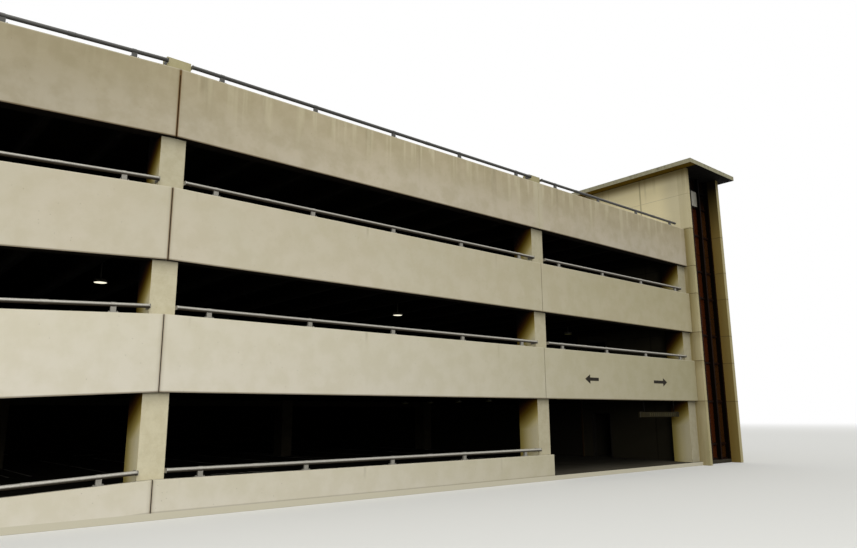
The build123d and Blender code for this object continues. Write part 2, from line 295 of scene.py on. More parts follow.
def lineAt(value, place, halfWidth, softness):
    return useGroup(lineMask, value, place, halfWidth, softness)


def streaksOf(scale, stretch, low=0.35, high=0.7, smooth=False):
    return mapOf(noiseOf(bench["position"], scale, 4.0, 0.6, (1.0, 1.0, stretch)), low, high, smooth=smooth)


def startMaterial(name, constants):
    material = bpy.data.materials.new(name)
    material.use_nodes = True
    tree = material.node_tree
    bench.update(tree=tree, material=material, shader=tree.nodes["Principled BSDF"])
    for title, value in constants.items():
        bench["shader"].inputs[title].default_value = value
    bench["position"] = wireOf("TexCoord", {}, "Object")
    return bench["position"], wireOf("NewGeometry", {}, "Normal")


def endMaterial(colour, roughness, height, strength, distance):
    bump = wireOf("Bump", {"Strength": strength, "Distance": distance, "Height": height})
    for title, value in (("Base Color", colour), ("Roughness", roughness), ("Normal", bump)):
        feed(bench["shader"].inputs[title], value)
    return bench["material"]


# ---- concrete

level2Row = {"low": (209, 203, 188), "high": (206, 200, 182), "patch": (190, 183, 156), "rosy": (211, 204, 188),
             "paleRuns": 0.15, "darkRuns": 0.03, "runLength": 0.45, "tones": (1.14, 0.95, 0.61),
             "warmth": (0.0, 0.2, 1.0), "edge": 0.65, "seam": 0.4, "inner": 0.9, "inside": (60, 54, 40)}
level3Row = dict(level2Row, low=(197, 190, 171), high=(191, 184, 163), patch=(178, 169, 140), rosy=(200, 190, 172),
                 tones=(1.02, 0.98, 0.78), warmth=(0.0, 0.2, 0.8), seam=0.7)
precastRows = {
    "level_2": level2Row, "level_3": level3Row,
    "roof": {"low": (187, 178, 159), "high": (171, 160, 132), "patch": (150, 140, 108), "rosy": (190, 178, 154),
             "paleRuns": 0.55, "darkRuns": 0.30, "runLength": 1.05, "runs": 0.36, "tones": (0.62, 1.045, 0.95),
             "warmth": (0.30, 0.10, 0.05), "edge": 0.75, "seam": 0.9, "inner": 0.4, "inside": (120, 114, 96),
             "paleBand": 0.45},
    "ground": {"low": (178, 171, 148), "high": (186, 179, 156), "patch": (160, 151, 124), "rosy": (192, 184, 166),
               "paleRuns": 0.15, "darkRuns": 0.25, "runLength": 0.9, "tones": (1.0, 1.0, 1.0),
               "warmth": (0.1, 0.1, 0.1), "edge": 0.5, "seam": 0.3, "inner": 0.98, "inside": (16, 13, 8),
               "bottom": groundTop, "top": decks[0] - panelBelow - 0.02},
    "barrier": dict(level2Row, bottom=groundTop, top=barrierTop, edge=0.3),
    "upper_walls": dict(level3Row, bottom=decks[0] + panelAbove, top=decks[2] - panelBelow, inner=0.97,
                        inside=(26, 22, 15)),
}
# stains and wear, with painted shade on the joint faces, the ledge, the inner faces and the undersides, and a painted
# highlight besides wear on the top edge
weatheringAndShade = {"warmTint": (1.0, 0.975, 0.75, 1.0), "paleRun": (206, 199, 170), "darkRun": (112, 102, 76),
              "seamStain": (92, 64, 26), "seamWide": (120, 104, 74), "jointFaceShade": (48, 32, 16),
              "foot": (84, 66, 40), "lip": (212, 206, 182), "dirt": (108, 102, 84), "underside": (20, 14, 8),
              "ledge": (16, 12, 7), "pore": (92, 84, 64), "paleBand": (190, 183, 156)}


def startConcrete(name, *casting):
    position, normal = startMaterial(name, {"Specular IOR Level": 0.06})
    return partsOf(position), partsOf(normal), useGroup(castConcrete, *casting), useGroup(faceTurn, normal)


def grainTone(cast, share):
    return mapOf(cast["Grain"], 0.3, 0.7, 1.0 - share, 1.0 + share)


def endConcrete(colour, cast, height, smoothest=0.80, roughest=0.95, bump=0.4):
    return endMaterial(colour, mapOf(cast["Patch"], 0.0, 1.0, smoothest, roughest), height, bump, 0.004)


def makePrecast(name, values):
    (x, y, _), (nx, ny, _), cast, turn = startConcrete(name, 2.2, 0.012, 0.11, 0.22)
    height, length = useGroup(levelHeight, bayLine, rampSlope), values["runLength"]
    below, fromJoint = values["top"] - height, abs(x + bayLine)
    strength = 0.17
    if "runs" in values:             # the parapet's pale runs are stronger past the first joint
        strength = mapOf(x, -bayLine - 0.5, -bayLine + 2.5, values["runs"] * 0.25, values["runs"])
    shifted = wireOf("Mapping", {"Vector": bench["position"], "Location": (3.7, 0.0, 0.0)})
    dark = useGroup(runMarks, below, 0.55, length, values["darkRuns"], position=shifted)
    colour = layered(
        values["low"], (mapOf(height, values["bottom"], values["top"], smooth=True), values["high"]),
        (cast["Blotch"] * 0.3, values["rosy"]), (cast["Patch"] * 0.3, values["patch"]),
        (useGroup(runMarks, below, 0.34, length, values["paleRuns"]) * strength, weatheringAndShade["paleRun"]),
        (dark * 0.28, weatheringAndShade["darkRun"]))
    colour = greyed(colour, useGroup(lengthTone, *values["tones"]) * grainTone(cast, 0.05))
    colour = mixOf(useGroup(lengthTone, *values["warmth"]), colour, weatheringAndShade["warmTint"], "MULTIPLY")
    if "paleBand" in values:         # cleaner concrete beside the second joint of the parapet
        colour = mixOf(lineAt(x, bayLine, 0.14, 0.16) * values["paleBand"], colour, weatheringAndShade["paleBand"])
    inner = mapOf(larger(abs(x) - (innerEnd + 0.02), abs(y) - (innerFace + 0.02)), -0.01, 0.0, 1.0, 0.0)
    jointFaceShade = mapOf(abs(nx), 0.5, 0.8) * mapOf(fromJoint, 0.03, 0.05, 1.0, 0.0)
    endFace = (abs(x) > innerEnd - 0.01) * (abs(y) < innerFace - 0.05)
    # painted shade on the faces inside the joints and at the panel ends, on the inner faces and on the undersides;
    # the pale line along the top edge is wear and a painted highlight
    colour = layered(
        colour, (mapOf(fromJoint, 0.012, 0.11, 1.0, 0.0) * 0.22, weatheringAndShade["seamWide"]),
        (mapOf(fromJoint, 0.020, 0.042, 1.0, 0.0) * values["seam"], weatheringAndShade["seamStain"]),
        (lineAt(height, values["bottom"], 0.018, 0.02) * values["edge"], weatheringAndShade["foot"]),
        (lineAt(height, values["top"], 0.012, 0.02) * 0.35, weatheringAndShade["lip"]),
        (turn["Up"] * mapOf(useGroup(grime, 0.5, 0.62), 0.0, 1.0, 0.25, 0.8), weatheringAndShade["dirt"]),
        (larger(jointFaceShade, mapOf(abs(ny), 0.5, 0.8) * endFace), weatheringAndShade["jointFaceShade"]),
        (inner * values["inner"], values["inside"]), (turn["Down"], weatheringAndShade["underside"]))
    if "deck" in values:             # painted shade: the ledge behind the panel is darkened under the deck
        under = mapOf(height, values["deck"] - 0.02, values["deck"], 1.0, 0.0)
        colour = mixOf(inner * under, colour, weatheringAndShade["ledge"])
    return endConcrete(layered(colour, (cast["Pores"] * 0.45, weatheringAndShade["pore"])), cast, cast["Height"], bump=0.35)


plainConcrete = {
    "columnConcrete": {
        "base": (206, 198, 168), "patch": (190, 180, 148), "soffit": (120, 108, 80), "dirt": 0.25,
        "tones": (0.98, 0.86, 0.68), "highest": (0.74, 0.925, 0.95), "lowest": (1.145, 1.02, 0.93),
        # painted light: flank lightens the column sides in the openings, and painted shade then darkens them through
        # the soot tones
        "head": (148, 139, 88), "flank": (238, 226, 184), "inwards": (1.15, 0.78), "underPanel": 1.38,
        "perMetre": 1.25, "depth": 0.25,
        "soot": ((235, 220, 164), (199, 179, 102), (165, 142, 68), (118, 92, 22), (71, 43, 7), (34, 16, 2),
                 (4, 2, 1))},
    # painted shade: the middle columns, beams and landings are darker copies of the column concrete
    "middleColumnConcrete": {"base": (70, 64, 50), "patch": (58, 52, 40), "soffit": (34, 30, 22), "dirt": 0.4},
    "beamConcrete": {"base": (52, 48, 38), "patch": (42, 38, 29), "soffit": (24, 21, 15), "dirt": 0.5},
    "landingConcrete": {"base": (60, 56, 46), "patch": (48, 44, 36), "soffit": (26, 23, 17), "dirt": 0.5},
}


def addSoot(colour, x, y, nx, values):    # painted light and shade: the sides in the openings are lightened, then darkened away from the open air and under each panel
    height = useGroup(levelHeight, bayLine, rampSlope)
    foot, storey = decks[0] - panelBelow, decks[1] - decks[0]
    low = mapOf(height, foot - 0.05, foot + 0.05, 1.0, 0.0)
    rise = mathOf("FRACT", (height - (foot - storey)) / storey)
    under = larger(values["underPanel"] - (1.0 - rise) * (storey * values["perMetre"]), 0.08)
    inwards = mapOf(abs(y), innerFace, innerFace - columnDepth)
    moved = mathOf("MULTIPLY_ADD", inwards, mapOf(low, 0.0, 1.0, *values["inwards"]), under)
    moved = mathOf("MULTIPLY_ADD", (rise < 0.5) * (height > foot), 2.0, moved)
    flank = mapOf(abs(nx), 0.4, 0.7) * (height < 10.5) * (abs(x) < innerEnd - 0.02)
    colour = mixOf(flank, colour, values["flank"])
    for k, stain in enumerate(values["soot"], 1):
        amount = mapOf(moved, k * values["depth"], (k + 1) * values["depth"]) * flank
        colour = mixOf(amount, colour, stain)
    colour = greyed(colour, useGroup(lengthTone, *values["tones"]))
    for key, share in (("highest", mapOf(height, 7.50, 7.60)), ("lowest", low)):
        colour = greyed(colour, mapOf(share, 0.0, 1.0, 1.0, useGroup(lengthTone, *values[key])))
    return layered(colour, (mapOf(rise, 0.965, 0.995, 0.0, 0.3), values["soot"][-1]),
                   (mapOf(height, 10.57, 10.62, 0.0, 0.5), values["head"]))


def makePlainConcrete(name, values):
    (x, y, z), (nx, _, _), cast, turn = startConcrete(name, 1.1, 0.012, 0.09, 0.3)
    lift = lineAt(mathOf("FRACT", z * (1.0 / 1.22)), 0.5, 0.004, 0.006)
    # the soffit tone colours the grime and the pores, and is painted shade on the undersides
    colour = layered(values["base"], (cast["Patch"] * 0.5, values["patch"]), (lift * 0.25, values["patch"]),
                     (useGroup(grime, 0.8, values["dirt"]) * 0.25, values["soffit"]),
                     (turn["Down"], values["soffit"]))
    if "soot" in values:
        colour = addSoot(colour, x, y, nx, values)
    colour = layered(greyed(colour, grainTone(cast, 0.06)), (cast["Pores"] * 0.4, values["soffit"]))
    return endConcrete(colour, cast, cast["Height"])


roofDeck = {
    "base": (150, 146, 134), "worn": (172, 168, 156), "oil": (62, 58, 52), "tyre": (88, 84, 78),
    "soffit": (24, 20, 13), "soffitPatch": (15, 12, 8), "edge": (22, 18, 12), "aisle": 9.15,
    "tracks": (0.85, 2.60), "cracked": (84, 80, 70), "mottled": (128, 124, 112),
}
# painted shade: the covered decks, and the ground slab after them, are darker copies of the roof deck
coveredDeck = dict(roofDeck, base=(56, 52, 43), worn=(66, 62, 52), tyre=(36, 33, 27), oil=(24, 22, 18),
                   cracked=(38, 35, 28), mottled=(50, 46, 37))
groundSlab = dict(coveredDeck, edge=(198, 192, 170))


def makeDeckConcrete(name, values):
    (_, y, _), _, cast, turn = startConcrete(name, 3.0, 0.02, 0.2, 0.15)
    position, offCentre = bench["position"], abs(abs(y) - values["aisle"])
    smear = mapOf(noiseOf(position, 1.3, 4.0, 0.6, (0.25, 1.0, 1.0)), 0.35, 0.65)
    tracks = [(lineAt(offCentre, place, 0.14, 0.5) * smear * 0.45, values["tyre"]) for place in values["tracks"]]
    drips = useGroup(grime, 1.4, 0.22) * mapOf(offCentre, 3.2, 4.4, smooth=True)
    crack = wireOf("TexVoronoi", {"Vector": mixOf(0.12, position, noiseOf(position, 1.1)), "Scale": 0.33},
                   "Distance", feature="DISTANCE_TO_EDGE")
    # painted shade: the deck's underside takes the dark soffit tones
    colour = layered(
        values["base"], (cast["Blotch"], values["worn"]), (cast["Patch"] * 0.35, values["mottled"]), *tracks,
        (drips * 0.7, values["oil"]), (mapOf(crack, 0.0, 0.006, 1.0, 0.0) * 0.45, values["cracked"]),
        (turn["Down"], mixOf(cast["Patch"], values["soffit"], values["soffitPatch"])), (turn["Side"], values["edge"]))
    broom = noiseOf(position, 60.0, 2.0, 0.5, (1.0, 0.03, 1.0))
    height = mathOf("MULTIPLY_ADD", broom * turn["Up"], 0.6, cast["Height"])
    return endConcrete(colour, cast, height, 0.82, 0.96)


towerSurface = {
    "base": (212, 202, 166), "patch": (198, 186, 146), "rosy": (208, 196, 162), "back": (242, 229, 184),
    "flank": (138, 124, 80), "flankPale": (176, 166, 126), "front": (166, 156, 116), "shade": (120, 94, 40),
    "shadePale": (136, 118, 66), "shadeStreak": (130, 108, 54), "covered": (14, 10, 5), "stain": (116, 100, 60),
    "eaves": (92, 76, 22), "joint": (84, 68, 38), "top": (108, 102, 84),
    "joints": (2.75, 4.52, 5.80, 7.57, 8.85, 10.62), "faintJoint": 12.30, "upright": -16.14,
}


def makeTowerConcrete(name, values):
    (x, y, z), _, cast, turn = startConcrete(name, 1.8, 0.012, 0.1, 0.25)
    left, front, parapet = towerLow.x, towerLow.y, values["joints"][-1]
    streaks = streaksOf(2.6, 0.07, 0.36, 0.64, smooth=True)
    ahead = mapOf(y, -innerFace - 0.02, -innerFace + 0.01, 1.0, 0.0) * mapOf(z, 10.60, 10.70, 1.0, 0.25)
    flank = mixOf(mapOf(y, -halfDepth - 0.03, front + 0.03), values["flank"], values["flankPale"])
    leftTop = (z > parapet) * (x < rightWall - 0.5)
    ends = mapOf(y, front + 0.01, front + 0.02, 1.0, 0.0) * mapOf(leftTop, 0.0, 1.0, 1.0, 0.35)
    below = towerHigh.z - z
    shade = mixOf(mapOf(y, front, front + 0.55, smooth=True), values["shadePale"], values["shade"])
    shade = greyed(layered(shade, (streaks * 0.5, values["shadeStreak"])), mapOf(z, 10.6, 13.2, 1.0, 0.03))
    lines, drips = 0.0, 0.0
    for place in values["joints"]:
        lines = larger(lines, lineAt(z, place, 0.010, 0.006))
        drips = larger(drips, mapOf(z, place - 0.45, place - 0.01) * (z < place))
    lines = larger(lines, lineAt(y, values["upright"], 0.022, 0.030) * 0.5)
    lines = larger(lines, lineAt(z, values["faintJoint"], 0.008, 0.006) * 0.35)
    # painted shade: the faces inside the covered storeys and inside the tower (covered), and a band under the roof
    # (eaves)
    hidden = (mapOf(x, left + 0.01, left + 0.02, 1.0, 0.0) * mapOf(y, -innerFace, -innerFace + 0.30)
              * mapOf(z, 9.60, 9.63, 1.0, 0.0))
    within = ((x > left + 0.01) * (x < rightWall + 0.02) * mapOf(y, -innerFace + 0.05, -innerFace + 0.15)
              * (y < towerHigh.y - 0.01))
    colour = layered(
        values["base"], (cast["Blotch"] * 0.35, values["patch"]), (cast["Patch"] * 0.25, values["rosy"]),
        (mapOf(y, -17.9, -17.0, smooth=True) * (x < left + 0.02) * 0.75, values["back"]),
        (ahead, layered(flank, (streaks * 0.35, values["rosy"]))),
        (ends, layered(values["front"], (streaks * 0.35, values["rosy"]))),
        (useGroup(runMarks, below, 0.4, 1.6, 0.4) * 0.3, values["stain"]),
        (mapOf(below, 0.62, 0.05, smooth=True) * 0.85, values["eaves"]), (lineAt(x, rightWall, 0.01, 0.01), shade),
        (drips * 0.45 * streaks, values["stain"]), (lines * 0.85, values["joint"]),
        (larger(hidden, within) * 0.97, values["covered"]))
    colour = layered(greyed(colour, grainTone(cast, 0.05)), (cast["Pores"] * 0.4, values["joint"]),
                     (turn["Up"] * 0.6, values["top"]))
    return endConcrete(colour, cast, cast["Height"] - lines * 2.0)


roofSurface = {"fascia": (158, 154, 128), "patch": (138, 133, 108), "soffit": (11, 8, 5),
               "sideSoffit": (104, 82, 20), "membrane": (88, 88, 84), "runs": (70, 66, 50)}


def makeRoofSlab(name, values):
    (x, _, z), _, cast, turn = startConcrete(name, 0.9, 0.012, 0.1, 0.25)
    runs = useGroup(runMarks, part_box("tower_roof")[1].z - z, 0.3, 0.22, 0.5)
    # painted shade: the soffit is nearly black, and lighter brown beyond the left wall's face
    soffit = mixOf(mapOf(x, towerLow.x - 0.10, towerLow.x), values["sideSoffit"], values["soffit"])
    colour = layered(values["fascia"], (cast["Patch"] * 0.6, values["patch"]), (runs * 0.45, values["runs"]),
                     (turn["Down"], soffit), (turn["Up"], values["membrane"]))
    return endConcrete(greyed(colour, grainTone(cast, 0.06)), cast, cast["Height"], 0.78)


# ---- metal, paint and glass

metalWork = {"zinc": (176, 173, 162), "dull": (140, 136, 124), "bright": (200, 198, 188), "rust": (112, 74, 46),
             "under": (44, 35, 22), "high": (58, 58, 56)}


def makeGalvanised(name, values):
    position, normal = startMaterial(name, {"Metallic": 0.35})
    flake = partsOf(wireOf("TexVoronoi", {"Vector": position, "Scale": 42.0}, "Color"))[0]
    dirt = useGroup(grime, 0.35, 0.35)
    # painted shade, partly dirt: the rails' undersides are darkened; painted shade also darkens the roof rails above
    # 10 m
    colour = layered(
        values["zinc"], (mapOf(flake, 0.0, 1.0, 0.0, 0.55), values["dull"]),
        (mapOf(flake, 0.8, 1.0, 0.0, 0.35), values["bright"]), (dirt * 0.4, values["dull"]),
        (useGroup(grime, 0.22, 0.1) * 0.55, values["rust"]),
        (mapOf(partsOf(normal)[2], 0.25, -0.35), values["under"]),
        (mapOf(partsOf(position)[2], 10.0, 10.3, 0.0, 0.85), values["high"]))
    height = mathOf("MULTIPLY_ADD", flake, 0.2, dirt * -0.3)
    return endMaterial(colour, mapOf(dirt, 0.0, 1.0, 0.42, 0.68), height, 0.25, 0.001)


paintWork = {"rough": 0.6, "share": 0.3, "dust": 0.18, "top": 0.4, "shine": 0.4, "dustTint": (150, 142, 120),
             "topTint": (140, 132, 112)}
paints = {
    "framePaint": {"base": (40, 16, 9), "faded": (54, 23, 12), "chip": (22, 11, 7), "share": 0.25, "dust": 0.0,
                   "top": 0.0, "shine": 0.04, "returns": (6, 3, 1), "other": (24, 11, 5), "shaded": (11.4, 12.6)},
    "palePaint": {"base": (160, 157, 144), "faded": (140, 136, 120), "chip": (120, 116, 104), "rough": 0.5,
                  "share": 0.25},
    "barPaint": {"base": (34, 29, 11), "faded": (20, 16, 6), "chip": (8, 6, 2), "share": 0.6, "dust": 0.012,
                 "top": 0.1, "shine": 0.06, "clearTop": 2.285, "above": (5, 4, 3)},
    "signPaint": {"base": (38, 34, 28), "faded": (50, 45, 37), "chip": (90, 84, 70), "rough": 0.7, "share": 0.15,
                  "dust": 0.05, "top": 0.2, "shine": 0.1},
    "lampPaint": {"base": (56, 54, 46), "faded": (44, 42, 35), "chip": (32, 28, 21), "rough": 0.45, "share": 0.35},
    "doorFramePaint": {"base": (34, 31, 26), "faded": (44, 40, 33), "chip": (24, 20, 15), "dust": 0.04,
                       "top": 0.2, "shine": 0.15},
    "reflector": {"base": (72, 67, 40), "faded": (54, 50, 28), "chip": (36, 32, 16), "rough": 0.5, "dust": 0.02,
                  "shine": 0.08},
    "deepSealant": {"base": (40, 26, 12), "faded": (52, 36, 19), "chip": (24, 16, 9), "rough": 0.8, "dust": 0.0,
                    "top": 0.0, "shine": 0.05},
    "darkSealant": {"base": (56, 46, 29), "faded": (72, 61, 41), "chip": (30, 24, 16), "rough": 0.8,
                    "share": 0.4, "dust": 0.05, "top": 0.1, "shine": 0.08},
    "paleSealant": {"base": (178, 168, 136), "faded": (160, 150, 118), "chip": (120, 110, 86), "rough": 0.7,
                    "share": 0.35},
    "linePaint": {"base": (204, 204, 196), "faded": (150, 146, 134), "chip": (104, 100, 90), "rough": 0.75,
                  "share": 0.7},
    "rubber": {"base": (46, 44, 40), "faded": (72, 68, 60), "chip": (30, 28, 26), "rough": 0.75},
}


def makePaint(name, changes):
    values = dict(paintWork, **changes)
    position, normal = startMaterial(name, {"Specular IOR Level": values["shine"]})
    (x, _, z), nx = partsOf(position), partsOf(normal)[0]
    dust, chips = useGroup(grime, 0.45, values["share"] + 0.2), useGroup(grime, 0.08, values["share"] * 0.4)
    colour = layered(values["base"], (streaksOf(7.0, 0.08) * 0.6, values["faded"]), (chips * 0.7, values["chip"]),
                     (dust * values["dust"], values["dustTint"]),
                     (useGroup(faceTurn, normal)["Up"] * values["top"], values["topTint"]))
    if "clearTop" in values:         # the rods over the board are dark
        colour = mixOf(z > values["clearTop"], colour, values["above"])
    if "returns" in values:          # painted shade: the sides of the deep bars are darker than their fronts, and so is the top
        colour = layered(colour, (mapOf(x, towerHigh.x + 0.15, towerHigh.x + 0.20), values["other"]),
                         (mapOf(abs(nx), 0.4, 0.8), values["returns"]))
        colour = greyed(colour, mapOf(z, *values["shaded"], 1.0, 0.08))
    roughness = mapOf(dust, 0.0, 1.0, values["rough"], values["rough"] + 0.25)
    return endMaterial(colour, roughness, noiseOf(position, 260.0, 2.0) - chips, 0.2, 0.0008)


glassSheet = {"dark": (12, 8, 5), "red": (68, 31, 12), "olive": (58, 34, 12), "dust": (66, 56, 38),
              "first": 17.305, "pane": 0.8283, "change": 18.96}


def makeGlass(name, values):         # tinted panes with painted reflections in red-brown and olive, faded by painted shade towards the top
    position, _ = startMaterial(name, {"Transmission Weight": 0.25, "IOR": 1.45, "Specular IOR Level": 0.06})
    x, _, z = partsOf(position)
    across = mathOf("FRACT", (x - values["first"]) / values["pane"])
    bend = mapOf(noiseOf(position, 1.1, 3.0, 0.5, (0.6, 1.0, 0.35)), 0.3, 0.7, -0.10, 0.10)
    paintedReflection = lineAt(across + bend, 0.70, 0.26, 0.12) * mapOf(z, 11.6, 12.6, 1.0, 0.05)
    film = useGroup(grime, 0.9, 0.5)
    colour = layered(values["dark"], (paintedReflection, mixOf(x > values["change"], values["red"], values["olive"])),
                     (film * streaksOf(9.0, 0.05) * 0.12, values["dust"]))
    return endMaterial(colour, mapOf(film, 0.0, 1.0, 0.10, 0.35), noiseOf(position, 1.2, 2.0), 0.05, 0.01)


def makeDiffuser(name, strength, bright, dull):
    position, _ = startMaterial(name, {"Emission Strength": strength})
    ribs = wireOf("TexVoronoi", {"Vector": position, "Scale": 70.0}, "Distance")
    glow = mixOf(mapOf(ribs, 0.0, 0.6), bright, dull)
    feed(bench["shader"].inputs["Emission Color"], glow)
    return endMaterial(glow, 0.35, ribs, 0.4, 0.002)


# ---- materials on the nodes

finishes = {}
nodesOf = {                          # the nodes that a material goes to, apart from the levels' panels
    "ground": ("rear_ground_wall", "left_ground_wall", "right_ground_wall"), "upper_walls": ("right_upper_walls",),
    "barrier": ("front_barrier_wall",), "columnConcrete": ("front_columns", "rear_columns"),
    "middleColumnConcrete": ("middle_columns",), "beamConcrete": ["middle_beams_" + level for level in levels],
    "landingConcrete": ("tower_floors",), "roofDeck": ("front_deck_roof", "rear_deck_roof"),
    "coveredDeck": ("front_deck_level_2", "rear_deck_level_2", "front_deck_level_3", "rear_deck_level_3"),
    "groundSlab": ("ground_slab",), "towerConcrete": ("tower_left_wall", "tower_right_wall", "tower_rear_wall"),
    "roofSlab": ("tower_roof",),
    "galvanisedSteel": ("barrier_rails", "front_rails", "rear_rails", "left_rails", "right_rails"),
    "framePaint": ("tower_frame",), "palePaint": ("tower_vent_panel",), "barPaint": ("clearance_bar",),
    "towerGlass": ("tower_glass",),
}


def finish(make, name, values, prefix=""):
    finishes[name] = make(prefix + name, values)
    for node in nodesOf.get(name, ()):
        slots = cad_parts[node].data.materials
        slots.clear()
        slots.append(finishes[name])


for level, deck in levels.items():
    precastRows[level].update(bottom=deck - panelBelow, top=deck + panelAbove, deck=deck)
    nodesOf[level] = [side + "_panels_" + level for side in ("front", "rear", "left", "right")]
for row, values in precastRows.items():
    finish(makePrecast, row, values, "precast_")
for name, values in plainConcrete.items():
    finish(makePlainConcrete, name, values)
for name, values in paints.items():
    finish(makePaint, name, values)
for name, values in (("roofDeck", roofDeck), ("coveredDeck", coveredDeck), ("groundSlab", groundSlab)):
    finish(makeDeckConcrete, name, values)
finish(makeTowerConcrete, "towerConcrete", towerSurface)
finish(makeRoofSlab, "roofSlab", roofSurface)
finish(makeGalvanised, "galvanisedSteel", metalWork)
finish(makeGlass, "towerGlass", glassSheet)
finishes["lampDiffuser"] = makeDiffuser("lampDiffuser", 1.3, (255, 253, 236), (238, 232, 206))
finishes["lampDiffuserPlain"] = makeDiffuser("lampDiffuserPlain", 0.08, (150, 146, 84), (124, 120, 66))
print("materials on the nodes")


# ---- pieces; each is one joined mesh in the building's own coordinates

pieces = {                           # finish, slot and the node that the piece stands for
    "rail_base_plates": ("galvanisedSteel", "galvanised_steel"),
    "rail_straps_and_caps": ("galvanisedSteel", "galvanised_steel"),
    "rail_end_brackets": ("galvanisedSteel", "galvanised_steel"),
    "panel_joint_seals": ("darkSealant", "structural_concrete"),
    "deep_joint_seals": ("deepSealant", "structural_concrete"),
    "parapet_joint_seal": ("paleSealant", "precast_panels"),
    "parapet_joint_patch": ("roof", "precast_panels"),
    "panel_ties": ("galvanisedSteel", "galvanised_steel"),
    "deck_bay_lines": ("linePaint", "deck_concrete"),
    "deck_joint_seals": ("rubber", "deck_concrete"),
    "deck_joint_covers": ("galvanisedSteel", "galvanised_steel"),
    "lamp_bodies": ("lampPaint", "lamp_diffuser", "ceiling_lamps"),
    "lamp_diffusers_lit": ("lampDiffuser", "lamp_diffuser"),
    "lamp_diffusers_plain": ("lampDiffuserPlain", "lamp_diffuser"),
    "lamp_conduits": ("galvanisedSteel", "galvanised_steel"),
    "entrance_arrows": ("signPaint", "frame_paint"),
    "tower_door_casings": ("doorFramePaint", "frame_paint"),
    "tower_glazing_gaskets": ("framePaint", "frame_paint"),
    "tower_pressed_panel": ("palePaint", "pale_panel", "tower_vent_panel"),
    "clearance_bar_caps": ("doorFramePaint", "bar_paint"),
    "clearance_bar_reflectors": ("reflector", "bar_paint"),
}
meshes = {name: bmesh.new() for name in pieces}
fixings = {                          # sides, then pairs of radius and distance along the axis
    "plateNut": (6, (0.0189, -0.002), (0.0189, 0.003), (0.014, 0.003), (0.014, 0.014), (0.0, 0.014)),
    "couplerScrew": (6, (0.009, 0.0), (0.009, 0.006), (0.0, 0.006)),
    "bracketBolt": (6, (0.02, -0.001), (0.02, 0.003), (0.014, 0.003), (0.014, 0.013), (0.0, 0.013)),
    "tieBolt": (6, (0.016, -0.001), (0.016, 0.010), (0.0, 0.010)),
    "coverScrew": (8, (0.014, -0.001), (0.012, 0.003), (0.0, 0.004)),
    "lampScrew": (8, (0.016, 0.0), (0.016, 0.010), (0.0, 0.012)),
    "panelScrew": (10, (0.011, 0.0), (0.009, 0.004), (0.0, 0.005)),
    "capScrew": (8, (0.006, 0.0), (0.005, 0.003), (0.0, 0.004)),
    "rodNut": (6, (0.011, 0.0), (0.011, 0.012), (0.0, 0.012)),
}


def addBox(bm, low, high, followFall=False):         # between any two opposite corners
    (x0, x1), (y0, y1), (z0, z1) = (sorted(pair) for pair in zip(low, high))
    corners = [bm.verts.new((x, y, z - (fall(x) if followFall else 0.0)))
               for x in (x0, x1) for y in (y0, y1) for z in (z0, z1)]
    for face in ((0, 1, 3, 2), (4, 6, 7, 5), (0, 4, 5, 1), (2, 3, 7, 6), (0, 2, 6, 4), (1, 5, 7, 3)):
        bm.faces.new([corners[i] for i in face])


def addTurned(bm, base, axis, profile, sides=20):    # profile: pairs of radius and distance along the axis
    base, turn = Vector(base), Vector(axis).to_track_quat("Z", "Y")
    circle = [(math.cos(2 * math.pi * i / sides), math.sin(2 * math.pi * i / sides)) for i in range(sides)]
    rings = []
    for radius, along in profile:
        spots = [(radius * c, radius * s) for c, s in circle] if radius > 1e-6 else [(0.0, 0.0)]
        rings.append([bm.verts.new(base + turn @ Vector((*spot, along))) for spot in spots])
    for near, far in zip(rings, rings[1:]):
        for i in range(sides):
            corners = (near[i % len(near)], far[i % len(far)], far[(i + 1) % sides % len(far)],
                       near[(i + 1) % sides % len(near)])
            bm.faces.new(list(dict.fromkeys(corners)))


def addFixing(bm, kind, at, axis):
    sides, *profile = fixings[kind]
    addTurned(bm, at, axis, profile, sides)


def addRod(bm, start, end, radius, sides=8):
    run = Vector(end) - Vector(start)
    addTurned(bm, start, run, [(0.0, 0.0), (radius, 0.0), (radius, run.length), (0.0, run.length)], sides)


def addArrow(bm, centre, along, across, size, thickness):    # size: length, head, half of the shaft and of the head
    centre, along, across, thickness = (Vector(v) for v in (centre, along, across, thickness))
    length, head, half, wing = size
    neck = length / 2 - head
    outline = [(-length / 2, -half), (neck, -half), (neck, -wing), (length / 2, 0.0), (neck, wing), (neck, half),
               (-length / 2, half)]
    points = [centre + along * a + across * b for a, b in outline]
    for point in points:
        point.z -= fall(point.x) if centre.z > 1.0 else 0.0
    rings = [[bm.verts.new(point + push) for point in points] for push in (Vector(), thickness)]
    closeRings(bm, rings)


def closeRings(bm, rings):
    for ring in rings:
        bm.faces.new(ring)
    for i in range(len(rings[0])):
        j = (i + 1) % len(rings[0])
        bm.faces.new((rings[0][i], rings[0][j], rings[1][j], rings[1][i]))


def finishPiece(name, finish, slotName, *replaced):
    bm = meshes[name]
    bmesh.ops.recalc_face_normals(bm, faces=bm.faces)
    mesh = bpy.data.meshes.new(name)
    bm.to_mesh(mesh)
    bm.free()
    piece = addObject(name, mesh)
    mesh.materials.append(finishes[finish])
    mesh.shade_smooth()
    mesh.set_sharp_from_angle(angle=math.radians(35))
    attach(piece, "root")
    if replaced:
        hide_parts(*replaced)
    print(name, len(mesh.polygons), "faces")


# ---- the building's lines

def columnSpans(front=False):
    half, last = columnWidth / 2, halfLength if front else innerEnd
    return [(-innerEnd, -innerEnd + columnWidth), (-bayLine - half, -bayLine + half),
            (bayLine - half, bayLine + half), (last - columnWidth, last)]


def clearSpans(front=False):         # the openings between the columns
    spans = columnSpans(front)
    return [(left[1], right[0]) for left, right in zip(spans, spans[1:])]


